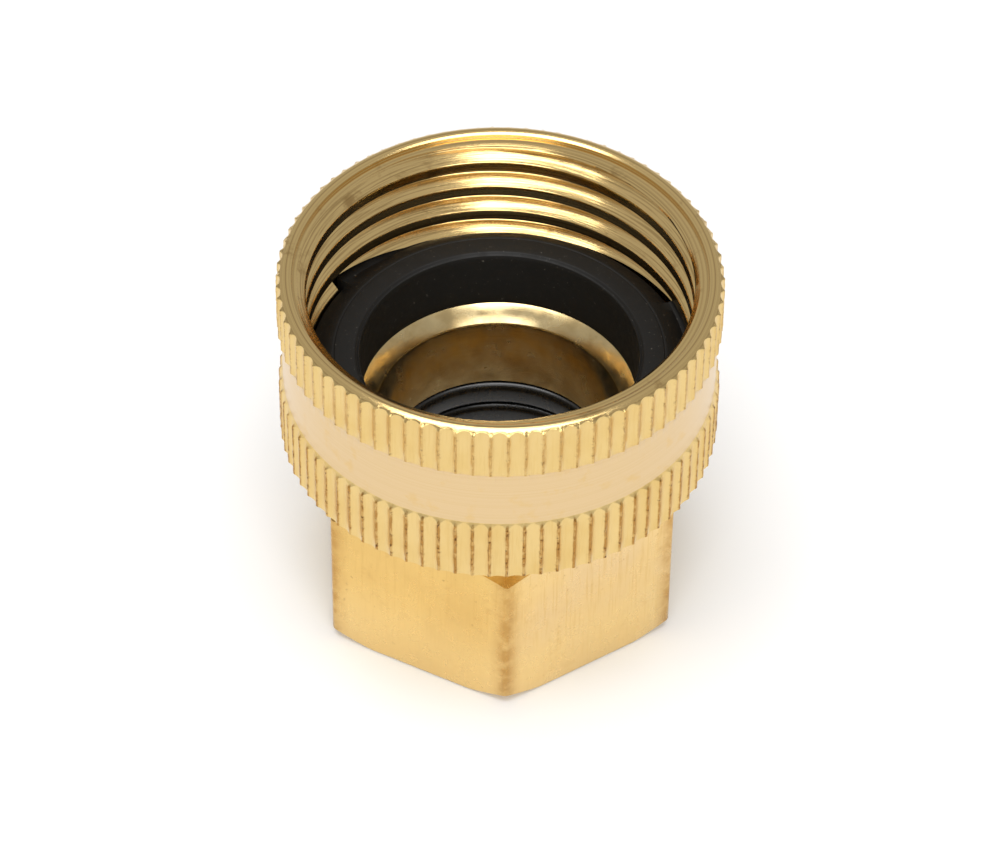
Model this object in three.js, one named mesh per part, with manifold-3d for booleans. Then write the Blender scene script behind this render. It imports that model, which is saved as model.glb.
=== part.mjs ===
// Swivel hose adapter: a knurled hose-thread nut that turns on a hexagonal pipe-socket body.
// Millimetres, +Z up. The origin is the centre of the hexagon's bottom face. The hexagon has
// two flats facing +X and -X and two corners facing +Y and -Y. Angles are counter-clockwise
// from +X, seen from above.

import * as THREE from 'three';
import * as BufferGeometryUtils from 'three/addons/utils/BufferGeometryUtils.js';
import Module from 'manifold-3d';

const wasm = await Module();
wasm.setup();

// Whole fitting
const TOTAL_HEIGHT = 27.55;
const ROUND_SEGMENTS = 48;
const OVERCUT = 0.1;
const RING_GAP = 0.05;

// Swivel nut: two knurled bands with a smooth recess between them
const NUT_HEIGHT = 13.6;
const NUT_TOP = TOTAL_HEIGHT;
const NUT_BOTTOM = NUT_TOP - NUT_HEIGHT;
const UPPER_BAND_HEIGHT = 4.15;
const LOWER_BAND_HEIGHT = 5.0;
const KNURL_CREST_RADIUS = 14.72;
const KNURL_VALLEY_RADIUS = 14.48;
const RECESS_RADIUS = 14.44;
const KNURL_FLUTES = 82;
const KNURL_FIRST_CREST_DEG = -90.5;
const CREST_BEVEL = 0.3;
const VALLEY_BEVEL = 0.05;
const RIM_INNER_RADIUS = 13.68;
const LEDGE_TOP = NUT_TOP - 0.34;
const LEDGE_INNER_RADIUS = 13.1;
const NUT_LIP_RADIUS = 9.3;
const NUT_LIP_THICKNESS = 0.85;
const FLANGE_POCKET_RADIUS = 11.7;

// Hose thread, 3/4 inch with 11.5 threads to the inch. Its ridges are cut down to flats that
// are wide for a 60 degree thread. Half flats are fractions of the pitch.
const HOSE_PITCH = 25.4 / 11.5;
const HOSE_ROOT_RADIUS = 13.65;
const HOSE_CREST_RADIUS = 12.78;
const HOSE_CREST_HALF_FLAT = 0.182;
const HOSE_ROOT_HALF_FLAT = 0.03;
const HOSE_THREAD_COLUMNS = 36;
const HOSE_CREST_HEIGHT = 24.76;

// Hose washer, held by three ears behind the last turn of the thread
const WASHER_TOP = TOTAL_HEIGHT - 7.15;
const WASHER_OUTER_RADIUS = 12.7;
const WASHER_LAND_RADIUS = 11.1;
const WASHER_EDGE_DROP = 0.75;
const WASHER_HOLE_RADIUS = 9.26;
const WASHER_BEVEL_WIDTH = 0.34;
const WASHER_BEVEL_DEPTH = 0.3;
const EAR_COUNT = 3;
const EAR_RADIUS = 13.5;
const EAR_SPAN_DEG = 36;
const EAR_FIRST_DEG = 107.9;
const EAR_DROP = 0.55;
const EAR_THICKNESS = 1.5;
const RELIEF_RADIUS = HOSE_ROOT_RADIUS + 0.03;
const RELIEF_TOP = WASHER_TOP - 1.35;
const EAR_POCKET_TOP = WASHER_TOP - 0.45;
const EAR_POCKET_MARGIN_DEG = 1.5;

// Tail sleeve: the flanged tube that holds the nut and is pressed into the body
const FLANGE_TOP = TOTAL_HEIGHT - 11.6;
const FLANGE_RADIUS = 11.2;
const FLANGE_THICKNESS = 1.1;
const SLEEVE_OUTER_RADIUS = 9.1;
const SLEEVE_BORE_TOP_RADIUS = 8.25;
const SLEEVE_BORE_FOOT_RADIUS = 7.68;
const SLEEVE_BEVEL_RADIUS = 9.3;
const SLEEVE_BEVEL_DEPTH = 1.05;
const SLEEVE_FOOT = TOTAL_HEIGHT - 17.7;

// Sealing rings, stacked in the body under the sleeve's foot
const SEAL_SECTION_RADIUS = 0.98;
const SEAL_CENTRE_RADIUS = 8.36;
const SEAL_PITCH = 2.0;
const UPPER_SEAL_HEIGHT = SLEEVE_FOOT - SEAL_SECTION_RADIUS - 0.06;
const SEAL_SECTION_SEGMENTS = 12;
const SEAL_POCKET_RADIUS = 9.4;

// Hexagonal body
const HEX_ACROSS_FLATS = 23.0;
const HEX_CORNER_ROUNDING = 0.38;
const HEX_TOP = TOTAL_HEIGHT - 15.15;
const HEX_BOTTOM_CIRCLE_RADIUS = 12.16;
const HEX_BOTTOM_CHAMFER_SLOPE = 0.577;
const HEX_TOP_CIRCLE_RADIUS = 11.5;
const HEX_TOP_CHAMFER_SLOPE = 0.577;
const HEX_ENVELOPE_RADIUS = 13.8;
const COLLAR_RADIUS = 10.9;
const COLLAR_TOP = NUT_BOTTOM - 0.2;

// Pipe thread in the body, 1/2 inch with 14 threads to the inch
const PIPE_PITCH = 25.4 / 14;
const PIPE_ROOT_RADIUS = 10.45;
const PIPE_SOCKET_DEPTH = 5.75;
const PIPE_MOUTH_RADIUS = 10.85;
const PIPE_CREST_RADIUS = 9.27;
const PIPE_HALF_FLAT = 1 / 16;
const PIPE_THREAD_COLUMNS = 32;
const PIPE_CREST_HEIGHT = 1.1;


const BRASS = new THREE.MeshStandardMaterial({ color: 0xe6c88c, roughness: 0.32, metalness: 1.0 });
const RUBBER = new THREE.MeshStandardMaterial({ color: 0x1a1a1a, roughness: 0.6, metalness: 0.0 });

// The vertices are merged by position, and triangles that collapse to a line are dropped.
function toManifold(geometry) {
  const bare = geometry.clone();
  bare.deleteAttribute('normal');
  bare.deleteAttribute('uv');
  const merged = BufferGeometryUtils.mergeVertices(bare);
  const index = merged.index.array;
  const triangles = [];
  for (let i = 0; i < index.length; i += 3) {
    const [a, b, c] = [index[i], index[i + 1], index[i + 2]];
    if (a !== b && b !== c && c !== a) {
      triangles.push(a, b, c);
    }
  }
  const mesh = new wasm.Mesh({
    numProp: 3,
    vertProperties: new Float32Array(merged.attributes.position.array),
    triVerts: new Uint32Array(triangles),
  });
  return new wasm.Manifold(mesh);
}

function toGeometry(solid) {
  const mesh = solid.getMesh();
  const geometry = new THREE.BufferGeometry();
  geometry.setAttribute('position', new THREE.BufferAttribute(mesh.vertProperties, 3));
  geometry.setIndex(new THREE.BufferAttribute(mesh.triVerts, 1));
  geometry.computeVertexNormals();
  return geometry;
}

// A turned solid: the profile's points are [radius, height] pairs, outside surface upwards.
function turned(profile, segments = ROUND_SEGMENTS) {
  const points = profile.map(([radius, height]) => new THREE.Vector2(radius, height));
  return toManifold(new THREE.LatheGeometry(points, segments).rotateX(Math.PI / 2));
}

function cylinder(radius, low, high, segments = ROUND_SEGMENTS) {
  return turned([[0, low], [radius, low], [radius, high], [0, high]], segments);
}

// A solid made of upright columns around the Z axis. pointAt gives the surface's
// [angle, radius, height] at a column and row; the first and last rows lie in flat planes.
function columnSolid(columns, rows, pointAt) {
  const corners = [];
  const place = (column, row) => {
    const [angle, radius, height] = pointAt(column, row);
    return [radius * Math.cos(angle), radius * Math.sin(angle), height];
  };
  for (let column = 0; column < columns; column += 1) {
    for (let row = 0; row < rows - 1; row += 1) {
      const lowLeft = place(column, row);
      const lowRight = place(column + 1, row);
      const highLeft = place(column, row + 1);
      const highRight = place(column + 1, row + 1);
      corners.push(...lowLeft, ...lowRight, ...highRight);
      corners.push(...lowLeft, ...highRight, ...highLeft);
    }
    const bottomLeft = place(column, 0);
    const bottomRight = place(column + 1, 0);
    const topLeft = place(column, rows - 1);
    const topRight = place(column + 1, rows - 1);
    corners.push(0, 0, bottomLeft[2], ...bottomRight, ...bottomLeft);
    corners.push(0, 0, topLeft[2], ...topLeft, ...topRight);
  }
  const geometry = new THREE.BufferGeometry();
  geometry.setAttribute('position', new THREE.Float32BufferAttribute(corners, 3));
  return toManifold(geometry);
}

// The space inside a right-hand internal thread, between two heights. crestHeight is the
// height of a ridge's middle at angle zero. The flats are half widths, in pitches.
function threadSpace(shape) {
  const { pitch, rootRadius, crestRadius, crestFlat, rootFlat, crestHeight } = shape;
  const { low, high, columns } = shape;
  const cornerPhases = [-crestFlat, crestFlat, 0.5 - rootFlat, 0.5 + rootFlat];
  const cornerRadii = [crestRadius, crestRadius, rootRadius, rootRadius];
  const firstTurn = Math.floor((low - crestHeight) / pitch) - 2;
  const lastTurn = Math.ceil((high - crestHeight) / pitch) + 2;
  const corner = (turnFraction, row) => {
    const turn = firstTurn + Math.floor(row / 4);
    const height = crestHeight + pitch * (turn + cornerPhases[row % 4] + turnFraction);
    return [cornerRadii[row % 4], height];
  };
  const radiusAt = (turnFraction, height) => {
    const turns = (height - crestHeight) / pitch - turnFraction;
    const phase = Math.abs(turns - Math.round(turns));
    const flank = (phase - crestFlat) / (0.5 - crestFlat - rootFlat);
    return THREE.MathUtils.lerp(crestRadius, rootRadius, THREE.MathUtils.clamp(flank, 0, 1));
  };
  return columnSolid(columns, (lastTurn - firstTurn) * 4, (column, row) => {
    const turnFraction = column / columns;
    const angle = (2 * Math.PI * (column % columns)) / columns;
    const [radius, height] = corner(turnFraction, row);
    if (height <= low) {
      return [angle, radiusAt(turnFraction, low), low];
    }
    if (height >= high) {
      return [angle, radiusAt(turnFraction, high), high];
    }
    return [angle, radius, height];
  });
}

// The nut's outside: each row is [height on a crest, radius on a crest, height in a valley,
// radius in a valley], from the bottom face to the top rim.
function knurledBlank() {
  const lowerBandTop = NUT_BOTTOM + LOWER_BAND_HEIGHT;
  const upperBandBottom = NUT_TOP - UPPER_BAND_HEIGHT;
  const bandRows = (low, high) => [
    [low, RECESS_RADIUS, low, RECESS_RADIUS],
    [low + CREST_BEVEL, KNURL_CREST_RADIUS, low + VALLEY_BEVEL, KNURL_VALLEY_RADIUS],
    [high - CREST_BEVEL, KNURL_CREST_RADIUS, high - VALLEY_BEVEL, KNURL_VALLEY_RADIUS],
    [high, RECESS_RADIUS, high, RECESS_RADIUS],
  ];
  const rows = [...bandRows(NUT_BOTTOM, lowerBandTop), ...bandRows(upperBandBottom, NUT_TOP)];
  const columns = KNURL_FLUTES * 2;
  const firstCrest = THREE.MathUtils.degToRad(KNURL_FIRST_CREST_DEG);
  return columnSolid(columns, rows.length, (column, row) => {
    const angle = firstCrest + (2 * Math.PI * (column % columns)) / columns;
    const [crestHeight, crestRadius, valleyHeight, valleyRadius] = rows[row];
    if (column % 2 === 0) {
      return [angle, crestRadius, crestHeight];
    }
    return [angle, valleyRadius, valleyHeight];
  });
}

function swivelNut() {
  const thread = threadSpace({
    pitch: HOSE_PITCH,
    rootRadius: HOSE_ROOT_RADIUS,
    crestRadius: HOSE_CREST_RADIUS,
    crestFlat: HOSE_CREST_HALF_FLAT,
    rootFlat: HOSE_ROOT_HALF_FLAT,
    crestHeight: HOSE_CREST_HEIGHT,
    low: RELIEF_TOP - OVERCUT,
    high: NUT_TOP + OVERCUT,
    columns: HOSE_THREAD_COLUMNS,
  });
  const entry = turned([
    [0, LEDGE_TOP - LEDGE_INNER_RADIUS],
    [LEDGE_INNER_RADIUS, LEDGE_TOP],
    [RIM_INNER_RADIUS, LEDGE_TOP],
    [RIM_INNER_RADIUS, NUT_TOP + OVERCUT],
    [0, NUT_TOP + OVERCUT],
  ]);
  const reliefBottom = FLANGE_TOP - 0.2;
  const lipTop = NUT_BOTTOM + NUT_LIP_THICKNESS;
  const relief = cylinder(RELIEF_RADIUS, reliefBottom, RELIEF_TOP);
  const pocket = cylinder(FLANGE_POCKET_RADIUS, lipTop, reliefBottom + OVERCUT);
  const lipHole = cylinder(NUT_LIP_RADIUS, NUT_BOTTOM - OVERCUT, lipTop + OVERCUT);
  let space = thread.add(entry).add(relief).add(pocket).add(lipHole);
  for (let i = 0; i < EAR_COUNT; i += 1) {
    const inner = WASHER_HOLE_RADIUS;
    const margin = EAR_POCKET_MARGIN_DEG;
    space = space.add(
      earSector(i, inner, RELIEF_RADIUS, RELIEF_TOP - OVERCUT, EAR_POCKET_TOP, margin),
    );
  }
  return knurledBlank().subtract(space);
}

// A piece of a ring around the axis, as wide as one of the washer's ears
function earSector(index, innerRadius, outerRadius, bottom, top, marginDeg) {
  const margin = THREE.MathUtils.degToRad(marginDeg);
  const span = THREE.MathUtils.degToRad(EAR_SPAN_DEG) + 2 * margin;
  const turn = (2 * Math.PI * index) / EAR_COUNT;
  const start = THREE.MathUtils.degToRad(EAR_FIRST_DEG) + turn - margin;
  const outline = new THREE.Shape();
  outline.absarc(0, 0, outerRadius, start, start + span, false);
  outline.absarc(0, 0, innerRadius, start + span, start, true);
  const sector = new THREE.ExtrudeGeometry(outline, {
    depth: top - bottom,
    bevelEnabled: false,
    curveSegments: 8,
  });
  sector.translate(0, 0, bottom);
  return toManifold(sector);
}

function hoseWasher() {
  const bottom = FLANGE_TOP + RING_GAP;
  let washer = turned([
    [WASHER_HOLE_RADIUS, bottom],
    [WASHER_OUTER_RADIUS, bottom],
    [WASHER_OUTER_RADIUS, WASHER_TOP - WASHER_EDGE_DROP],
    [WASHER_LAND_RADIUS, WASHER_TOP],
    [WASHER_HOLE_RADIUS + WASHER_BEVEL_WIDTH, WASHER_TOP],
    [WASHER_HOLE_RADIUS, WASHER_TOP - WASHER_BEVEL_DEPTH],
    [WASHER_HOLE_RADIUS, bottom],
  ]);
  const earTop = WASHER_TOP - EAR_DROP;
  const earFoot = earTop - EAR_THICKNESS;
  for (let i = 0; i < EAR_COUNT; i += 1) {
    const ear = earSector(i, WASHER_OUTER_RADIUS - OVERCUT, EAR_RADIUS, earFoot, earTop, 0);
    washer = washer.add(ear);
  }
  return washer;
}

function tailSleeve() {
  const flangeBottom = FLANGE_TOP - FLANGE_THICKNESS;
  return turned([
    [SLEEVE_BORE_FOOT_RADIUS, SLEEVE_FOOT],
    [SLEEVE_OUTER_RADIUS, SLEEVE_FOOT],
    [SLEEVE_OUTER_RADIUS, flangeBottom],
    [FLANGE_RADIUS, flangeBottom],
    [FLANGE_RADIUS, FLANGE_TOP],
    [SLEEVE_BEVEL_RADIUS, FLANGE_TOP],
    [SLEEVE_BORE_TOP_RADIUS, FLANGE_TOP - SLEEVE_BEVEL_DEPTH],
    [SLEEVE_BORE_FOOT_RADIUS, SLEEVE_FOOT],
  ]);
}

function sealRing(height) {
  const profile = [];
  for (let i = 0; i <= SEAL_SECTION_SEGMENTS; i += 1) {
    const turn = (2 * Math.PI * (i % SEAL_SECTION_SEGMENTS)) / SEAL_SECTION_SEGMENTS;
    const radius = SEAL_CENTRE_RADIUS + SEAL_SECTION_RADIUS * Math.cos(turn);
    profile.push([radius, height + SEAL_SECTION_RADIUS * Math.sin(turn)]);
  }
  return turned(profile, 36);
}

function hexPrism() {
  const outline = new THREE.Shape();
  const halfFlats = HEX_ACROSS_FLATS / 2;
  const centreRadius = (halfFlats - HEX_CORNER_ROUNDING) / Math.cos(Math.PI / 6);
  for (let i = 0; i < 6; i += 1) {
    const corner = Math.PI / 6 + (i * Math.PI) / 3;
    const x = centreRadius * Math.cos(corner);
    const y = centreRadius * Math.sin(corner);
    outline.absarc(x, y, HEX_CORNER_ROUNDING, corner - Math.PI / 6, corner + Math.PI / 6, false);
  }
  const prism = new THREE.ExtrudeGeometry(outline, {
    depth: COLLAR_TOP + OVERCUT,
    bevelEnabled: false,
    curveSegments: 3,
  });
  return toManifold(prism);
}

function hexBody() {
  const chamferRise = (HEX_ENVELOPE_RADIUS - HEX_BOTTOM_CIRCLE_RADIUS) * HEX_BOTTOM_CHAMFER_SLOPE;
  const chamferFall = (HEX_ENVELOPE_RADIUS - HEX_TOP_CIRCLE_RADIUS) * HEX_TOP_CHAMFER_SLOPE;
  const envelope = turned([
    [0, 0],
    [HEX_BOTTOM_CIRCLE_RADIUS, 0],
    [HEX_ENVELOPE_RADIUS, chamferRise],
    [HEX_ENVELOPE_RADIUS, HEX_TOP - chamferFall],
    [HEX_TOP_CIRCLE_RADIUS, HEX_TOP],
    [COLLAR_RADIUS, HEX_TOP],
    [COLLAR_RADIUS, COLLAR_TOP],
    [0, COLLAR_TOP],
  ]);
  const thread = threadSpace({
    pitch: PIPE_PITCH,
    rootRadius: PIPE_ROOT_RADIUS,
    crestRadius: PIPE_CREST_RADIUS,
    crestFlat: PIPE_HALF_FLAT,
    rootFlat: PIPE_HALF_FLAT,
    crestHeight: PIPE_CREST_HEIGHT,
    low: -OVERCUT,
    high: PIPE_SOCKET_DEPTH,
    columns: PIPE_THREAD_COLUMNS,
  });
  const mouth = turned([
    [0, -OVERCUT],
    [PIPE_MOUTH_RADIUS + OVERCUT, -OVERCUT],
    [0, PIPE_MOUTH_RADIUS],
  ]);
  const sealPocket = cylinder(SEAL_POCKET_RADIUS, PIPE_SOCKET_DEPTH - OVERCUT, SLEEVE_FOOT);
  const sleeveHole = cylinder(
    SLEEVE_OUTER_RADIUS + RING_GAP,
    SLEEVE_FOOT - OVERCUT,
    COLLAR_TOP + OVERCUT,
  );
  const inside = thread.add(mouth).add(sealPocket).add(sleeveHole);
  return hexPrism().intersect(envelope).subtract(inside);
}

const fitting = new THREE.Group();

function addPart(parent, name, solid, material) {
  const mesh = new THREE.Mesh(toGeometry(solid), material);
  mesh.name = name;
  parent.add(mesh);
}

addPart(fitting, 'hex_body', hexBody(), BRASS);
addPart(fitting, 'tail_sleeve', tailSleeve(), BRASS);
addPart(fitting, 'upper_seal_ring', sealRing(UPPER_SEAL_HEIGHT), RUBBER);
addPart(fitting, 'lower_seal_ring', sealRing(UPPER_SEAL_HEIGHT - SEAL_PITCH), RUBBER);

const swivel = new THREE.Group();
addPart(swivel, 'swivel_nut', swivelNut(), BRASS);
addPart(swivel, 'hose_washer', hoseWasher(), RUBBER);
fitting.add(swivel);

export default fitting;
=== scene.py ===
"""Looks of the swivel hose adapter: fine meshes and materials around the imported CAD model.

Shapes are worked out in millimetres, in the CAD frame, and scaled to metres when a mesh is made.
Every piece is a solid of upright columns around the Z axis. A column is a closed outline of
(radius, height) rows, and a threaded piece's rows climb with the thread.
"""

import math

import bmesh
import bpy
import numpy as np
from mathutils import Matrix, Vector


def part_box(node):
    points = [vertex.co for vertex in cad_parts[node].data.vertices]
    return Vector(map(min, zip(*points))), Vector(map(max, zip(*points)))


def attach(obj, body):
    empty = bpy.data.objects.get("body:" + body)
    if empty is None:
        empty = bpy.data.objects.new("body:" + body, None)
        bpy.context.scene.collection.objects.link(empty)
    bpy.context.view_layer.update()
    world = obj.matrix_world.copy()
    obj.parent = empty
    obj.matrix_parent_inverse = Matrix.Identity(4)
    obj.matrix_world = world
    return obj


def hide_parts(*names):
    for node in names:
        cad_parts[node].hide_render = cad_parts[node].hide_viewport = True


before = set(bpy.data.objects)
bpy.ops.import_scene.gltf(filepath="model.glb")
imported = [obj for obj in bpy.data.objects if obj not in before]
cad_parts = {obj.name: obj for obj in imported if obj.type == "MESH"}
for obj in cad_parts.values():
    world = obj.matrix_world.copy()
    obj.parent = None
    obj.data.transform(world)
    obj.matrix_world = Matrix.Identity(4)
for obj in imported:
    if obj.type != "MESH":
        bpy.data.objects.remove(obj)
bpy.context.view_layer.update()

MM = 0.001
TURN = 2 * math.pi


# ---------------------------------------------------------------- sizes, in millimetres

def box_mm(node):
    """A CAD node's lowest and highest corners."""
    low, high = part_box(node)
    return np.array(low) / MM, np.array(high) / MM


nut_low, nut_high = box_mm("swivel_nut")
washer_low, washer_high = box_mm("hose_washer")
sleeve_low, sleeve_high = box_mm("tail_sleeve")
_, body_high = box_mm("hex_body")
seal_boxes = {name: box_mm(name) for name in ("upper_seal_ring", "lower_seal_ring")}

NUT_TOP = nut_high[2]
NUT_BOTTOM = nut_low[2]
UPPER_BAND_BOTTOM = NUT_TOP - 4.15
UPPER_BAND_TOP = NUT_TOP - 0.14
LOWER_BAND_TOP = NUT_BOTTOM + 5.0
UPPER_BAND_DROP = 0.20
LOWER_BAND_DROP = 0.34
CREST_RADIUS = 14.72
VALLEY_RADIUS = 14.48
RECESS_RADIUS = 14.44
FLUTES = 82
FLUTE_PITCH = TURN * CREST_RADIUS / FLUTES
FIRST_CREST = math.radians(-90.5)
CREST_HALF_WIDTH = 0.05
SIDE_RAGGEDNESS = 0.022
EDGE_RAGGEDNESS = 0.05

RIM_CROWN = 0.13
RIM_INNER_RADIUS = 13.68
LEDGE_TOP = NUT_TOP - 0.34
LEDGE_INNER_RADIUS = 13.1
RELIEF_RADIUS = 13.68
RELIEF_DROP = 1.35
FLANGE_POCKET_RADIUS = 11.7
NUT_LIP_RADIUS = 9.3
NUT_LIP_THICKNESS = 0.85

WASHER_RADIUS = 12.7
WASHER_HOLE_RADIUS = 9.26
WASHER_EDGE_DROP = 1.0
EARS = 3
EAR_START = math.radians(107.9)
EAR_SPAN = math.radians(36)
EAR_REACH = 0.8
EAR_FLANK = math.radians(1.5)
EAR_DROP = 1.40
EAR_RISE = 0.82
EAR_POCKET_MARGIN = math.radians(1.5)
EAR_POCKET_RISE = 0.9

HOSE_PITCH = 25.4 / 11.5
HOSE_ROOT = 13.65
HOSE_CREST = 12.78
HOSE_CREST_HEIGHT = 24.76
HOSE_CREST_FLAT = 0.182
HOSE_ROOT_FLAT = 0.03
PIPE_PITCH = 25.4 / 14
PIPE_ROOT = 10.45
PIPE_CREST = 9.27
PIPE_CREST_HEIGHT = 1.1
PIPE_FLAT = 1 / 16
PIPE_MOUTH_RADIUS = 10.85
CORNER_BLEND = 0.03

FLANGE_THICKNESS = 1.1
TUBE_RADIUS = 9.1
COUNTERSINK_RADIUS = 9.34
BORE_TOP_RADIUS = 8.24
BORE_MIDDLE_RADIUS = 8.05
BORE_FOOT_RADIUS = 7.68
SEAL_EXPONENT = 0.55

HALF_FLATS = body_high[0]
HALF_CORNERS = HALF_FLATS / math.cos(math.pi / 6)
HEX_TOP = NUT_TOP - 15.15
HEX_ROUNDING = 0.38
HEX_BOTTOM_CIRCLE = 12.16
HEX_TOP_CIRCLE = 11.5
CHAMFER_SLOPE = 0.577
COLLAR_RADIUS = 10.9
SLEEVE_SEAT_RADIUS = 9.15
SEAL_POCKET_RADIUS = 9.4
SOCKET_TOP = 5.75

EDGE_BREAK = 0.1
QUARTERS = (0.25, 0.5, 0.75)


# ---------------------------------------------------------------- meshes

MERGE_DISTANCE = 2e-7
SLIVER_DISTANCE = 1e-7


def spread(value, angles):
    """A row's radius or height for every column."""
    return np.broadcast_to(np.asarray(value, float), angles.shape)


def ring_mesh(name, angles, rows, climbs=False):
    """A closed solid. rows is the outline, each row a (radius, height) pair of numbers or of
    arrays with a value for each column. Where it climbs, the last column is the first one a
    turn higher, and the two are merged."""
    radius = np.stack([spread(row[0], angles) for row in rows], 1)
    height = np.stack([spread(row[1], angles) for row in rows], 1)
    points = np.stack(
        [radius * np.cos(angles)[:, None], radius * np.sin(angles)[:, None], height], -1
    )
    columns, row_count = radius.shape
    here = np.arange(columns - 1 if climbs else columns)[:, None] * row_count
    after = (here + row_count) % (columns * row_count)
    row = np.arange(row_count)
    above = (row + 1) % row_count
    corners = [here + row, after + row, after + above, here + above]
    quads = np.stack([corner.ravel() for corner in corners], -1)
    mesh = bpy.data.meshes.new(name)
    mesh.from_pydata((points.reshape(-1, 3) * MM).tolist(), [], quads.tolist())
    solid = bmesh.new()
    solid.from_mesh(mesh)
    bmesh.ops.remove_doubles(solid, verts=solid.verts, dist=MERGE_DISTANCE)
    bmesh.ops.dissolve_degenerate(solid, edges=solid.edges, dist=SLIVER_DISTANCE)
    if solid.calc_volume(signed=True) < 0:
        bmesh.ops.reverse_faces(solid, faces=solid.faces)
    solid.to_mesh(mesh)
    solid.free()
    return mesh


def finish_piece(mesh, body, node, material, sharp_angle=40):
    """Puts the mesh in the scene, under its own name, as the piece that stands for a CAD node."""
    for polygon in mesh.polygons:
        polygon.use_smooth = True
    mesh.set_sharp_from_angle(angle=math.radians(sharp_angle))
    mesh.materials.append(material)
    piece = bpy.data.objects.new(mesh.name, mesh)
    bpy.context.scene.collection.objects.link(piece)
    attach(piece, body)
    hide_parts(node)


def mark_vertices(mesh, name, values):
    """Gives every vertex a number that the materials read by that name."""
    made = mesh.attributes.new(name, "FLOAT", "POINT")
    made.data.foreach_set("value", np.asarray(values, np.float32))


def polar_of(mesh):
    """Radius, angle and height of every vertex, in millimetres."""
    flat = np.empty(len(mesh.vertices) * 3, np.float32)
    mesh.vertices.foreach_get("co", flat)
    x, y, z = flat.reshape(-1, 3).T / MM
    return np.hypot(x, y), np.arctan2(y, x), z


# ---------------------------------------------------------------- threads

def bent(distance, corner):
    """0 up to the corner and then a rise of 1 for 1, with the corner rounded."""
    past = distance - corner
    inside = np.clip(past + CORNER_BLEND, 0, 2 * CORNER_BLEND) ** 2 / (4 * CORNER_BLEND)
    return np.where(past > CORNER_BLEND, past, inside)


class Thread:
    """A right-hand internal thread. The flats are half widths, in pitches."""

    def __init__(self, pitch, root, crest, crest_height, crest_flat, root_flat):
        self.pitch = pitch
        self.root = root
        self.crest = crest
        self.crest_height = crest_height
        self.crest_flat = crest_flat
        self.root_corner = 0.5 - root_flat
        corners = []
        for corner in (crest_flat, self.root_corner):
            corners += [corner + CORNER_BLEND * step for step in (-1, -0.33, 0.33, 1)]
        middle = (crest_flat + self.root_corner) / 2
        half = [crest_flat / 2, *corners[:4], middle, *corners[4:]]
        self.steps = sorted([0.0, 0.5, *half, *[-step for step in half]])

    def radius(self, angle, height):
        turns = (height - self.crest_height) / self.pitch - angle / TURN
        distance = np.abs(turns - np.round(turns))
        rise = bent(distance, self.crest_flat) - bent(distance, self.root_corner)
        return self.crest + (self.root - self.crest) * rise / (self.root_corner - self.crest_flat)


HOSE_THREAD = Thread(
    HOSE_PITCH, HOSE_ROOT, HOSE_CREST, HOSE_CREST_HEIGHT, HOSE_CREST_FLAT, HOSE_ROOT_FLAT
)
PIPE_THREAD = Thread(PIPE_PITCH, PIPE_ROOT, PIPE_CREST, PIPE_CREST_HEIGHT, PIPE_FLAT, PIPE_FLAT)


def thread_rows(angles, low, high, thread, mouth_radius, mouth_height):
    """The thread's rows from high down to low, widened by a 45 degree cone at its mouth. The
    spare turns past both ends are flattened onto them."""
    spare = 2
    pitch = thread.pitch
    crest_height = thread.crest_height
    low = spread(low, angles)
    high = spread(high, angles)
    first = math.floor((low.min() - crest_height) / pitch) - math.floor(angles.max() / TURN)
    last = math.ceil((high.max() - crest_height) / pitch) - math.floor(angles.min() / TURN)
    rows = []
    for turn in range(last + spare, first - spare, -1):
        for step in reversed(thread.steps):
            height = crest_height + pitch * (turn + step + angles / TURN)
            height = np.clip(height, low, high)
            mouth = mouth_radius - np.abs(height - mouth_height)
            rows.append((np.maximum(thread.radius(angles, height), mouth), height))
    return rows


# ---------------------------------------------------------------- shader nodes

def shader_node(tree, kind, inputs, **settings):
    """A new node. Each input is set to a value, or linked where it is given a socket."""
    made = tree.nodes.new(kind)
    for key, value in settings.items():
        setattr(made, key, value)
    for socket, source in inputs.items():
        if isinstance(source, bpy.types.NodeSocket):
            tree.links.new(source, made.inputs[socket])
        else:
            made.inputs[socket].default_value = source
    return made


def vector_maths(tree, operation, inputs):
    return shader_node(tree, "ShaderNodeVectorMath", inputs, operation=operation)


def millimetres(tree):
    """The position on the object, in millimetres."""
    place = shader_node(tree, "ShaderNodeTexCoord", {})
    return vector_maths(tree, "SCALE", {0: place.outputs["Object"], "Scale": 1 / MM}).outputs[0]


def separated(tree, place):
    """The X, Y and Z sockets of a position."""
    return shader_node(tree, "ShaderNodeSeparateXYZ", {0: place}).outputs


def stretched(tree, place, factors):
    return vector_maths(tree, "MULTIPLY", {0: place, 1: factors}).outputs[0]


def turned_place(tree, place, factor):
    """Coordinates that are the same all the way round, so noise makes lathe marks."""
    x, y, z = separated(tree, place)
    flat = shader_node(tree, "ShaderNodeCombineXYZ", {0: x, 1: y})
    radius = vector_maths(tree, "LENGTH", {0: flat.outputs[0]}).outputs["Value"]
    both = shader_node(tree, "ShaderNodeCombineXYZ", {0: radius, 2: z})
    return stretched(tree, both.outputs[0], (factor, 1, factor))


def noise(tree, place, scale, detail=3, roughness=0.55):
    inputs = {"Vector": place, "Scale": scale, "Detail": detail, "Roughness": roughness}
    return shader_node(tree, "ShaderNodeTexNoise", inputs).outputs[0]


def ramp(tree, source, low, high, to_low=0.0, to_high=1.0):
    """A smooth change from to_low, where the source is low, to to_high, where it is high."""
    inputs = {0: source, 1: low, 2: high, 3: to_low, 4: to_high}
    made = shader_node(tree, "ShaderNodeMapRange", inputs, interpolation_type="SMOOTHSTEP")
    return made.outputs[0]


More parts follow.
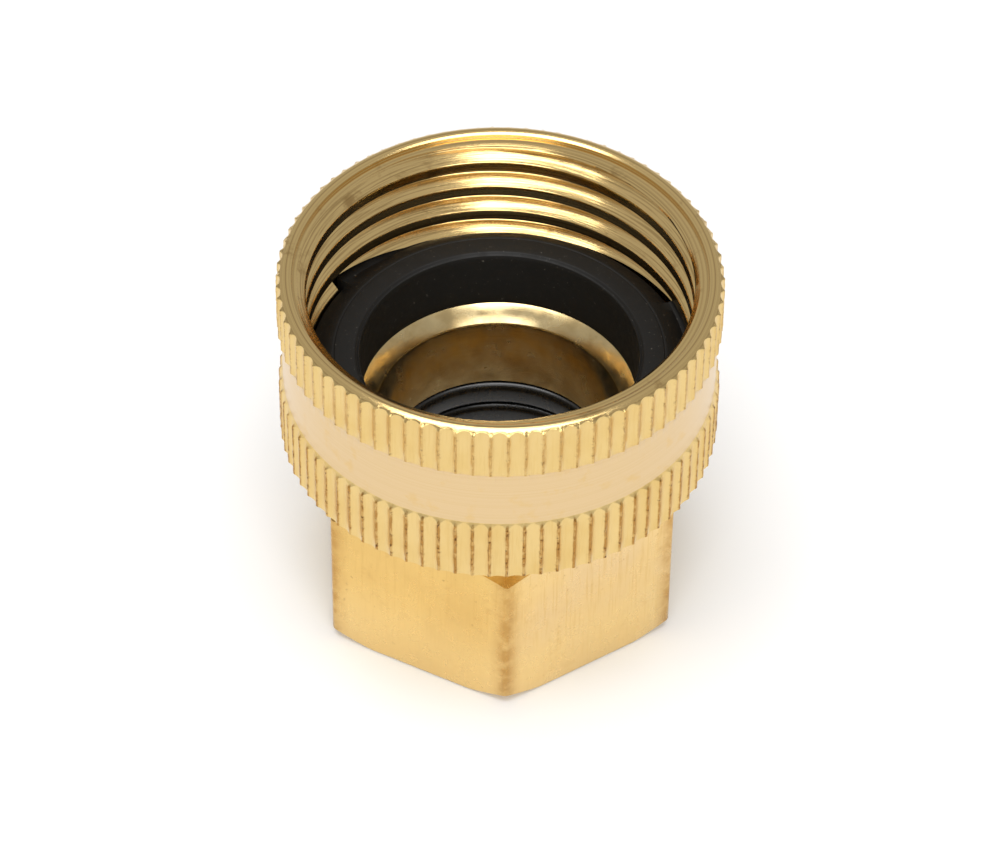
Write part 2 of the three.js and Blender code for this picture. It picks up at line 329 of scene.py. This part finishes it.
def mixed(tree, share, first, second):
    """A colour mix; first and second are colours or sockets."""
    inputs = {"Factor": share}
    for socket, colour in ((6, first), (7, second)):
        inputs[socket] = (*colour, 1) if isinstance(colour, tuple) else colour
    return shader_node(tree, "ShaderNodeMix", inputs, data_type="RGBA").outputs[2]


def mixed_number(tree, share, first, second):
    """A mix of two numbers or sockets."""
    return shader_node(tree, "ShaderNodeMix", {"Factor": share, 2: first, 3: second}).outputs[0]


def product(tree, first, second):
    inputs = {0: first, 1: second}
    return shader_node(tree, "ShaderNodeMath", inputs, operation="MULTIPLY").outputs[0]


def attribute(tree, name):
    """The number that mark_vertices gave under that name."""
    made = shader_node(tree, "ShaderNodeAttribute", {}, attribute_name=name)
    return made.outputs["Fac"]


def principled(name, **values):
    """A new material and its node tree, with the constant values on the shader itself."""
    material = bpy.data.materials.new(name)
    material.use_nodes = True
    tree = material.node_tree
    shader = tree.nodes["Principled BSDF"]
    for socket, value in values.items():
        shader.inputs[socket.replace("_", " ")].default_value = value
    return material, tree, shader


def bump(tree, height, strength):
    """A surface normal from a height pattern that is 0.02 mm deep."""
    inputs = {"Height": height, "Strength": strength, "Distance": 0.02 * MM}
    return shader_node(tree, "ShaderNodeBump", inputs).outputs[0]


def connect(tree, shader, colour, roughness, normal):
    tree.links.new(colour, shader.inputs["Base Color"])
    tree.links.new(roughness, shader.inputs["Roughness"])
    tree.links.new(normal, shader.inputs["Normal"])


# ---------------------------------------------------------------- materials

PALE_BRASS = (0.75, 0.55, 0.235)
WARM_BRASS = (0.71, 0.50, 0.19)
DRAWN_BRASS = (0.64, 0.43, 0.15)
RECESS_BRASS = (0.71, 0.525, 0.295)
TAN_BRASS = (0.65, 0.46, 0.22)
AMBER_BRASS = (0.70, 0.46, 0.16)
BRIGHT_BRASS = (0.86, 0.62, 0.27)
STREAK_REFLECTION_BROWN = (0.40, 0.25, 0.09)
CREST_SHADE_BROWN = (0.42, 0.22, 0.055)
BROWN_STAIN = (0.30, 0.15, 0.04)
DARK_SPECK = (0.12, 0.05, 0.012)

BAR_GOLD_REFLECTION = (0.71, 0.47, 0.16)
BAR_PALE_REFLECTION = (0.78, 0.57, 0.29)
BAR_CLOUD = (0.86, 0.60, 0.21)
BAR_LINE = (0.66, 0.42, 0.13)
BAR_SMUDGE = (0.60, 0.37, 0.12)
BAR_FOOT_FLOOR_REFLECTION = (0.88, 0.66, 0.30)
BAR_EDGE = (0.50, 0.28, 0.08)

OLIVE_BRASS = (0.70, 0.55, 0.29)
TARNISHED_BRASS = (0.62, 0.46, 0.22)
RUBBER_BLACK = (0.0065, 0.0060, 0.0052)
DUST_GREY = (0.12, 0.11, 0.09)


def knurl_colour(tree, place, axial):
    """Clouded brass with fine drawn lines."""
    clouds = ramp(tree, noise(tree, place, 0.22), 0.35, 0.7)
    colour = mixed(tree, clouds, PALE_BRASS, WARM_BRASS)
    drawn = ramp(tree, axial, 0.48, 0.68, to_high=0.35)
    return mixed(tree, drawn, colour, DRAWN_BRASS)


def recess_colour(tree, place, turned):
    """Greyer brass with lathe marks and soft amber stains."""
    marks = ramp(tree, turned, 0.42, 0.62, to_high=0.35)
    colour = mixed(tree, marks, RECESS_BRASS, TAN_BRASS)
    stain = ramp(tree, noise(tree, place, 0.55, 4, 0.6), 0.56, 0.72, to_high=0.45)
    return mixed(tree, stain, colour, AMBER_BRASS)


def with_crest_shade_and_dirt(tree, place, crest, colour):
    """Broken brown lines of painted shade along the knurl's crests, and dark specks of dirt."""
    # painted shade: broken brown lines on the crests stand in for their dark look
    patch = ramp(tree, noise(tree, place, 1.5, 4, 0.65), 0.38, 0.56, 0.45, 1.0)
    line = product(tree, ramp(tree, crest, 0.15, 0.75), patch)
    colour = mixed(tree, line, colour, CREST_SHADE_BROWN)
    specks = ramp(tree, noise(tree, place, 3.6, 4, 0.7), 0.54, 0.64)
    return mixed(tree, product(tree, specks, crest), colour, DARK_SPECK)


def thread_colour(tree, place, turned):
    """Bright turned brass with brown oxide, and darker streaks along the lathe marks as painted
    reflections.
    """
    oxide = ramp(tree, noise(tree, place, 0.33, 5, 0.7), 0.56, 0.74, to_high=0.6)
    colour = mixed(tree, oxide, BRIGHT_BRASS, BROWN_STAIN)
    # painted reflections: darker brown streaks laid along the lathe marks
    streaks = ramp(tree, turned, 0.46, 0.60, to_high=0.6)
    return mixed(tree, streaks, colour, STREAK_REFLECTION_BROWN)


def nut_material():
    """Drawn lines on the bands, lathe marks in the recess, and bright turned brass inside and
    on the rim."""
    material, tree, shader = principled("nut_brass", Metallic=1.0)
    place = millimetres(tree)
    inside = attribute(tree, "inside")
    recess = attribute(tree, "recess")
    axial = noise(tree, stretched(tree, place, (5, 5, 0.3)), 1.0, 4, 0.65)
    turned = noise(tree, turned_place(tree, place, 7), 1.0, 4, 0.65)
    colour = knurl_colour(tree, place, axial)
    colour = mixed(tree, recess, colour, recess_colour(tree, place, turned))
    # painted shade along the crests, with dark specks of dirt
    colour = with_crest_shade_and_dirt(tree, place, attribute(tree, "crest"), colour)
    colour = mixed(tree, inside, colour, thread_colour(tree, place, turned))
    height = mixed_number(tree, inside, axial, turned)
    height = mixed_number(tree, recess, height, turned)
    strength = ramp(tree, attribute(tree, "rim"), 0.0, 1.0, 0.4, 1.0)
    rough = mixed_number(tree, inside, 0.30, 0.15)
    connect(tree, shader, colour, rough, bump(tree, height, strength))
    return material


def hex_material():
    """Drawn bar: richer gold towards -X and paler towards +X, a painted reflection, and lighter
    towards its foot, a painted reflection of the floor, with small brown stains and brown edges."""
    material, tree, shader = principled("body_brass", Metallic=1.0)
    place = millimetres(tree)
    x, _, z = separated(tree, place)
    # painted reflection: richer gold on the -X side of the bar, paler on the +X side
    colour = mixed(tree, ramp(tree, x, -2.0, 3.0), BAR_GOLD_REFLECTION, BAR_PALE_REFLECTION)
    clouds = ramp(tree, noise(tree, place, 0.16), 0.38, 0.66, to_high=0.35)
    colour = mixed(tree, clouds, colour, BAR_CLOUD)
    drawn = noise(tree, stretched(tree, place, (6, 6, 0.25)), 1.0, 4, 0.65)
    colour = mixed(tree, ramp(tree, drawn, 0.48, 0.68, to_high=0.4), colour, BAR_LINE)
    smudge = ramp(tree, noise(tree, place, 0.5, 5, 0.7), 0.56, 0.72, to_high=0.45)
    colour = mixed(tree, smudge, colour, BAR_SMUDGE)
    specks = ramp(tree, noise(tree, place, 1.6, 5, 0.7), 0.64, 0.72, to_high=0.6)
    colour = mixed(tree, specks, colour, BROWN_STAIN)
    # painted reflection of the floor: the bar is lighter towards its foot
    colour = mixed(tree, ramp(tree, z, 8.0, 1.0, to_high=0.7), colour, BAR_FOOT_FLOOR_REFLECTION)
    worn = ramp(tree, noise(tree, place, 0.7, 4, 0.6), 0.34, 0.62, 0.35, 0.9)
    colour = mixed(tree, product(tree, attribute(tree, "edge"), worn), colour, BAR_EDGE)
    rough = ramp(tree, noise(tree, place, 0.8), 0.3, 0.7, 0.24, 0.36)
    connect(tree, shader, colour, rough, bump(tree, drawn, 0.3))
    return material


def sleeve_material():
    """Clouded olive brass with faint lathe marks."""
    material, tree, shader = principled("sleeve_brass", Metallic=1.0)
    place = millimetres(tree)
    clouds = ramp(tree, noise(tree, place, 0.45, 4, 0.65), 0.42, 0.62)
    colour = mixed(tree, clouds, OLIVE_BRASS, TARNISHED_BRASS)
    marks = noise(tree, turned_place(tree, place, 6), 1.0, 3, 0.6)
    rough = ramp(tree, noise(tree, place, 0.7), 0.3, 0.7, 0.16, 0.28)
    connect(tree, shader, colour, rough, bump(tree, marks, 0.15))
    return material


def rubber_material(name, specular, dust, smoothest, roughest):
    """Black rubber with fine dust, and a roughness that wanders between two values."""
    material, tree, shader = principled(name, Specular_IOR_Level=specular)
    place = millimetres(tree)
    specks = ramp(tree, noise(tree, place, 4.5, 3, 0.6), 0.66, 0.74, to_high=dust)
    colour = mixed(tree, specks, RUBBER_BLACK, DUST_GREY)
    rough = ramp(tree, noise(tree, place, 1.3), 0.3, 0.7, smoothest, roughest)
    grain = noise(tree, place, 6.0, 4, 0.65)
    connect(tree, shader, colour, rough, bump(tree, grain, 0.2))
    return material


# ---------------------------------------------------------------- swivel nut

def knurl_columns():
    """Column angles, and each column's distance from its flute's crest in millimetres."""
    half = FLUTE_PITCH / 2
    places = np.array([-0.46, -0.34, -0.22, -0.13, -0.05, 0.05, 0.13, 0.22, 0.34, 0.46, half])
    flute = np.arange(FLUTES)[:, None]
    angles = FIRST_CREST + (flute + places[None, :] / FLUTE_PITCH) * TURN / FLUTES
    closing = [angles[0, 0] + TURN]
    distance = np.broadcast_to(np.abs(places), angles.shape)
    return np.append(angles.ravel(), closing), np.append(distance.ravel(), abs(places[0]))


def flute_radius(distance):
    """A round hollow between two narrow flat crests."""
    half_pitch = FLUTE_PITCH / 2
    half_chord = half_pitch - CREST_HALF_WIDTH
    depth = CREST_RADIUS - VALLEY_RADIUS
    arc = (half_chord**2 + depth**2) / (2 * depth)
    across = np.minimum(np.abs(half_pitch - distance), half_chord)
    hollow = VALLEY_RADIUS + arc - np.sqrt(arc**2 - across**2)
    return np.minimum(hollow, CREST_RADIUS)


def ear_share(angles, margin):
    """0 beside the washer's ears, and rising from 0 to 1 along each of them."""
    along = np.mod(angles - EAR_START + margin, TURN / EARS)
    span = EAR_SPAN + 2 * margin
    return np.where(along < span, along / span, 0.0)


def ragged(random, columns, amount):
    """A seeded shift for every column, the same in the first and the closing one."""
    shift = random.uniform(-amount, amount, columns.shape)
    shift[-1] = shift[0]
    return shift


def band_rows(random, knurl, low, high, drop):
    """Rows up a knurled band. On the crests its top edge lies lower, by that drop."""
    share = (knurl - RECESS_RADIUS) / (CREST_RADIUS - RECESS_RADIUS)
    foot = low + 0.06 + 0.16 * share
    rows = [(knurl, foot)]
    for step in np.linspace(0.12, 0.88, 12):
        side = knurl + share * ragged(random, knurl, SIDE_RAGGEDNESS)
        rows.append((side, low + (high - low) * step))
    edge = high - drop * share + share * ragged(random, knurl, EDGE_RAGGEDNESS)
    rows += [(knurl, edge - 0.03), (knurl - 0.012, edge)]
    return rows


def nut_outside_rows(knurl):
    """From the bottom face up the lower band, the recess and the upper band."""
    random = np.random.default_rng(11)
    rows = [
        (NUT_LIP_RADIUS + 0.2, NUT_BOTTOM),
        (RECESS_RADIUS - 0.3, NUT_BOTTOM),
        (RECESS_RADIUS - 0.08, NUT_BOTTOM + 0.02),
    ]
    rows += band_rows(random, knurl, NUT_BOTTOM + 0.04, LOWER_BAND_TOP, LOWER_BAND_DROP)
    rows += [(RECESS_RADIUS + 0.01, LOWER_BAND_TOP), (RECESS_RADIUS, LOWER_BAND_TOP + 0.04)]
    for step in QUARTERS:
        rows.append((RECESS_RADIUS, LOWER_BAND_TOP + (UPPER_BAND_BOTTOM - LOWER_BAND_TOP) * step))
    rows.append((RECESS_RADIUS, UPPER_BAND_BOTTOM - 0.04))
    rows += band_rows(random, knurl, UPPER_BAND_BOTTOM, UPPER_BAND_TOP, UPPER_BAND_DROP)
    return rows


def rim_rows():
    """Across the crowned rim and down to the ledge inside it."""
    middle = (RECESS_RADIUS + RIM_INNER_RADIUS) / 2
    half = (RECESS_RADIUS - RIM_INNER_RADIUS) / 2
    rows = []
    for step in np.linspace(1, -1, 9):
        rows.append((middle + half * step, NUT_TOP - RIM_CROWN * step**2))
    rows += [(RIM_INNER_RADIUS, LEDGE_TOP + 0.03), (RIM_INNER_RADIUS - 0.03, LEDGE_TOP)]
    return rows


def nut_inside_rows(angles):
    """Down the thread and the relief, with a pocket over each ear, and round the lip."""
    pocket_share = ear_share(angles, EAR_POCKET_MARGIN)
    thread_foot = washer_high[2] - RELIEF_DROP + EAR_POCKET_RISE * pocket_share
    relief_foot = sleeve_high[2] - 0.2
    lip_top = NUT_BOTTOM + NUT_LIP_THICKNESS
    rows = thread_rows(
        angles, thread_foot, LEDGE_TOP, HOSE_THREAD, LEDGE_INNER_RADIUS, LEDGE_TOP
    )
    rows += [
        (RELIEF_RADIUS, thread_foot),
        (RELIEF_RADIUS, relief_foot),
        (FLANGE_POCKET_RADIUS, relief_foot),
        (FLANGE_POCKET_RADIUS, lip_top),
        (NUT_LIP_RADIUS + EDGE_BREAK, lip_top),
        (NUT_LIP_RADIUS, lip_top - EDGE_BREAK),
        (NUT_LIP_RADIUS, NUT_BOTTOM + 0.2),
    ]
    return rows


def mark_nut(mesh):
    """Marks the nut's crests, recess, rim and inside, with a little room for rounding."""
    radius, _, height = polar_of(mesh)
    banded = (radius > RECESS_RADIUS + 0.02) & (height < NUT_TOP - 0.03)
    crest = np.clip((radius - CREST_RADIUS + 0.10) / 0.08, 0, 1) * banded
    crest = crest * np.where(height > UPPER_BAND_BOTTOM - 0.02, 0.5, 1.0)
    recess = np.abs(radius - RECESS_RADIUS) < 0.03
    recess &= (height > LOWER_BAND_TOP + 0.02) & (height < UPPER_BAND_BOTTOM - 0.02)
    rim = (height > NUT_TOP - RIM_CROWN - 0.005) & (radius < RECESS_RADIUS + 0.01)
    inside = (radius < RIM_INNER_RADIUS + 0.01) | rim
    mark_vertices(mesh, "crest", crest)
    mark_vertices(mesh, "recess", recess)
    mark_vertices(mesh, "rim", rim)
    mark_vertices(mesh, "inside", inside)


def build_nut(material):
    angles, distance = knurl_columns()
    rows = nut_outside_rows(flute_radius(distance)) + rim_rows() + nut_inside_rows(angles)
    mesh = ring_mesh("swivel_nut_shell", angles, rows, climbs=True)
    mark_nut(mesh)
    finish_piece(mesh, "swivel", "swivel_nut", material, sharp_angle=30)


# ---------------------------------------------------------------- washer

def build_washer(material):
    """A rubber ring with sloping ears and a lip line round each edge of its top."""
    angles = np.linspace(0, TURN, 360, endpoint=False)
    bottom = washer_low[2]
    top = washer_high[2]
    edge = top - WASHER_EDGE_DROP
    outer = WASHER_RADIUS
    hole = WASHER_HOLE_RADIUS
    flat_outer = 10.80
    flat_inner = 9.72
    along = np.mod(angles - EAR_START, TURN / EARS)
    from_side = np.minimum(along, EAR_SPAN - along)
    ear = outer + EAR_REACH * np.clip(from_side / EAR_FLANK, 0, 1)
    ear_top = top - EAR_DROP + EAR_RISE * ear_share(angles, 0.0)
    ear_foot = edge - 1.05
    rows = [
        (hole + 0.05, bottom),
        (outer - EDGE_BREAK, bottom),
        (outer, bottom + EDGE_BREAK),
        (outer, ear_foot - 0.05),
        (ear, ear_foot),
        (ear, ear_top - 0.06),
        (ear - 0.08, ear_top),
        (outer - 0.04, np.maximum(edge - 0.06, ear_top - 0.02)),
        (outer - 0.10, np.maximum(edge, ear_top - 0.04)),
        (outer - 0.9, top - 0.40),
        (flat_outer + 0.40, top - 0.05),
        (flat_outer + 0.28, top - 0.04),
        (flat_outer + 0.22, top - 0.07),
        (flat_outer + 0.16, top - 0.01),
        (flat_outer, top),
        (flat_inner, top),
        (flat_inner - 0.08, top - 0.01),
        (flat_inner - 0.14, top - 0.05),
        (flat_inner - 0.18, top - 0.12),
        (flat_inner - 0.26, top - 0.15),
        (flat_inner - 0.31, top - 0.10),
        (flat_inner - 0.37, top - 0.13),
        (flat_inner - 0.43, top - 0.30),
        (hole, top - 0.48),
        (hole, bottom + 0.05),
    ]
    mesh = ring_mesh("rubber_hose_washer", angles, rows)
    finish_piece(mesh, "swivel", "hose_washer", material)


# ---------------------------------------------------------------- sleeve and seals

def build_sleeve(material):
    """A flanged tube with a countersunk mouth and a bore that narrows downwards."""
    angles = np.linspace(0, TURN, 256, endpoint=False)
    top = sleeve_high[2]
    foot = sleeve_low[2]
    flange = sleeve_high[0]
    flange_foot = top - FLANGE_THICKNESS
    rows = [
        (BORE_FOOT_RADIUS + 0.08, foot),
        (TUBE_RADIUS - EDGE_BREAK, foot),
        (TUBE_RADIUS, foot + EDGE_BREAK),
        (TUBE_RADIUS, flange_foot),
        (flange - EDGE_BREAK, flange_foot),
        (flange, flange_foot + EDGE_BREAK),
        (flange, top - EDGE_BREAK),
        (flange - EDGE_BREAK, top),
        (COUNTERSINK_RADIUS, top),
        (COUNTERSINK_RADIUS - 0.07, top - 0.03),
        (BORE_TOP_RADIUS + 0.07, top - 0.99),
        (BORE_TOP_RADIUS + 0.02, top - 1.06),
        (BORE_TOP_RADIUS, top - 1.18),
        (BORE_MIDDLE_RADIUS, (top + foot) / 2),
        (BORE_FOOT_RADIUS, foot + EDGE_BREAK),
    ]
    mesh = ring_mesh("flanged_tail_sleeve", angles, rows)
    finish_piece(mesh, "fitting_body", "tail_sleeve", material)


def build_seal(cad_node, material):
    """A ring that fills its CAD box, with a section between a circle and a square."""
    low, high = seal_boxes[cad_node]
    section = (high[2] - low[2]) / 2
    centre_radius = high[0] - section
    centre_height = (high[2] + low[2]) / 2
    angles = np.linspace(0, TURN, 200, endpoint=False)
    rows = []
    for turn in np.linspace(0, TURN, 32, endpoint=False):
        across = math.copysign(abs(math.cos(turn)) ** SEAL_EXPONENT, math.cos(turn))
        up = math.copysign(abs(math.sin(turn)) ** SEAL_EXPONENT, math.sin(turn))
        rows.append((centre_radius + section * across, centre_height + section * up))
    mesh = ring_mesh(cad_node.replace("seal", "rubber_seal"), angles, rows)
    finish_piece(mesh, "fitting_body", cad_node, material)


# ---------------------------------------------------------------- hexagonal body

def hex_columns():
    """Column angles: close together at each rounded corner, and even along each flat."""
    flat_columns = 25
    corner_columns = 8
    tangent = HEX_ROUNDING * math.tan(math.pi / 6)
    half_side = HALF_FLATS * math.tan(math.pi / 6) - tangent
    steps = np.linspace(-1, 1, flat_columns)
    flat = [math.atan2(half_side * step, HALF_FLATS) for step in steps]
    edge = flat[-1]
    corner = list(np.linspace(edge, TURN / 6 - edge, corner_columns + 2)[1:-1])
    one_side = np.array(flat + corner)
    angles = (one_side[None, :] + np.arange(6)[:, None] * TURN / 6).ravel()
    return np.append(angles, angles[0] + TURN)


def hex_radius(angles):
    """Radius of a hexagon with rounded corners and flats facing +X and -X."""
    from_flat = np.mod(angles + TURN / 12, TURN / 6) - TURN / 12
    flat = HALF_FLATS / np.cos(from_flat)
    centre = (HALF_FLATS - HEX_ROUNDING) / math.cos(math.pi / 6)
    from_corner = TURN / 12 - np.abs(from_flat)
    reach = HEX_ROUNDING**2 - (centre * np.sin(from_corner)) ** 2
    rounded = centre * np.cos(from_corner) + np.sqrt(np.maximum(reach, 0))
    return np.where(reach > 0, np.minimum(flat, rounded), flat)


def hex_rows(angles):
    """Up the outside of the bar and its collar, and down the bore and the pipe thread."""
    outside = hex_radius(angles)
    foot_radius = np.minimum(outside, HEX_BOTTOM_CIRCLE)
    bottom_edge = np.maximum(outside - HEX_BOTTOM_CIRCLE, 0) * CHAMFER_SLOPE
    top_edge = HEX_TOP - np.maximum(outside - HEX_TOP_CIRCLE, 0) * CHAMFER_SLOPE
    collar_top = body_high[2]
    sleeve_foot = sleeve_low[2]
    rows = [
        (foot_radius - 0.12, 0.0),
        (foot_radius - 0.03, 0.025),
        (outside - 0.03, bottom_edge + 0.03),
        (outside, bottom_edge + 0.12),
    ]
    for step in QUARTERS:
        rows.append((outside, bottom_edge + (top_edge - bottom_edge) * step))
    rows += [
        (outside, top_edge - EDGE_BREAK),
        (outside - 0.03, top_edge - 0.02),
        (np.minimum(outside - EDGE_BREAK, HEX_TOP_CIRCLE), HEX_TOP),
        (COLLAR_RADIUS + 0.05, HEX_TOP),
        (COLLAR_RADIUS, HEX_TOP + 0.05),
        (COLLAR_RADIUS, collar_top - 0.15),
        (COLLAR_RADIUS - 0.15, collar_top),
        (SLEEVE_SEAT_RADIUS + EDGE_BREAK, collar_top),
        (SLEEVE_SEAT_RADIUS, collar_top - EDGE_BREAK),
        (SLEEVE_SEAT_RADIUS, sleeve_foot),
        (SEAL_POCKET_RADIUS, sleeve_foot),
        (SEAL_POCKET_RADIUS, SOCKET_TOP),
    ]
    return rows + thread_rows(angles, 0.0, SOCKET_TOP, PIPE_THREAD, PIPE_MOUTH_RADIUS, 0.0)


def mark_hex(mesh):
    """Marks the six upright edges. Beside an edge the mark fades over 0.4 mm of radius."""
    radius, angle, _ = polar_of(mesh)
    rounded_corner = HALF_CORNERS - 0.06
    fade = 0.4
    edge = np.clip((radius - rounded_corner + 0.45) / fade, 0, 1)
    on_outside = radius > hex_radius(angle) - 0.2
    mark_vertices(mesh, "edge", edge * on_outside)


def build_body(material):
    angles = hex_columns()
    mesh = ring_mesh("hexagonal_body", angles, hex_rows(angles), climbs=True)
    mark_hex(mesh)
    finish_piece(mesh, "fitting_body", "hex_body", material, sharp_angle=25)


# ---------------------------------------------------------------- studio, in metres

FLOOR_HALF_SIDE = 3.0
FLOOR_GAP = 0.0001
FLOOR_WHITE = (0.9, 0.9, 0.9, 1)
LIGHT_TARGET = Vector((0, 0, 0.02))
AIR_COLOUR = (1.0, 0.997, 0.99, 1)
AIR_STRENGTH = 0.47


def build_floor():
    half = FLOOR_HALF_SIDE
    mesh = bpy.data.meshes.new("studio_floor")
    corners = [(-half, -half, 0), (half, -half, 0), (half, half, 0), (-half, half, 0)]
    mesh.from_pydata(corners, [], [(0, 1, 2, 3)])
    floor = bpy.data.objects.new("studio_floor", mesh)
    bpy.context.scene.collection.objects.link(floor)
    floor.location.z = -FLOOR_GAP
    material, _, shader = principled("floor_white", Roughness=0.9, Specular_IOR_Level=0.1)
    shader.inputs["Base Color"].default_value = FLOOR_WHITE
    mesh.materials.append(material)


def area_light(name, place, width, depth, power):
    """A rectangular lamp that faces the object."""
    data = bpy.data.lights.new(name, "AREA")
    data.shape = "RECTANGLE"
    data.size = width
    data.size_y = depth
    data.energy = power
    lamp = bpy.data.objects.new(name, data)
    lamp.location = place
    lamp.rotation_mode = "QUATERNION"
    lamp.rotation_quaternion = (LIGHT_TARGET - Vector(place)).to_track_quat("-Z", "Y")
    bpy.context.scene.collection.objects.link(lamp)


def build_world():
    world = bpy.data.worlds.new("studio_air")
    world.use_nodes = True
    background = world.node_tree.nodes["Background"]
    background.inputs["Color"].default_value = AIR_COLOUR
    background.inputs["Strength"].default_value = AIR_STRENGTH
    bpy.context.scene.world = world


def build_camera():
    """A long lens 0.31 m away, a little under 46 degrees above the horizon. Its place is worked
    out in millimetres, facing +Y, and then turned round the Z axis."""
    elevation = math.radians(45.63)
    azimuth = math.radians(-3.1)
    roll = 0.0138
    distance = 311.6
    aim = Vector((0.112, 0, NUT_TOP - 14.99))
    forward = Vector((0, math.cos(elevation), -math.sin(elevation)))
    right = Vector((1, 0, 0))
    up = Vector((0, math.sin(elevation), math.cos(elevation)))
    rolled_right = right * math.cos(roll) + up * math.sin(roll)
    rolled_up = up * math.cos(roll) - right * math.sin(roll)
    turn = Matrix.Rotation(azimuth, 3, "Z")
    axes = Matrix((turn @ rolled_right, turn @ rolled_up, turn @ -forward)).transposed()
    data = bpy.data.cameras.new("camera")
    data.lens = 165.56
    data.sensor_width = 36
    data.clip_start = 0.01
    data.clip_end = 20
    camera = bpy.data.objects.new("camera", data)
    place = turn @ (aim - forward * distance)
    camera.matrix_world = Matrix.Translation(place * MM) @ axes.to_4x4()
    bpy.context.scene.collection.objects.link(camera)
    bpy.context.scene.camera = camera


# ---------------------------------------------------------------- the whole scene

build_camera()
build_nut(nut_material())
build_washer(rubber_material("washer_rubber", specular=0.3, dust=0.8, smoothest=0.5, roughest=0.62))
build_sleeve(sleeve_material())
seal_rubber = rubber_material("seal_rubber", specular=0.6, dust=0.3, smoothest=0.22, roughest=0.3)
for seal_node in seal_boxes:
    build_seal(seal_node, seal_rubber)
build_body(hex_material())
build_floor()
area_light("overhead_softbox", (-0.06, -0.12, 0.9), width=0.7, depth=0.6, power=6.0)
area_light("front_softbox", (0.0, -1.1, 0.75), width=1.3, depth=0.6, power=7.5)
build_world()
bpy.context.scene.view_settings.view_transform = "Standard"
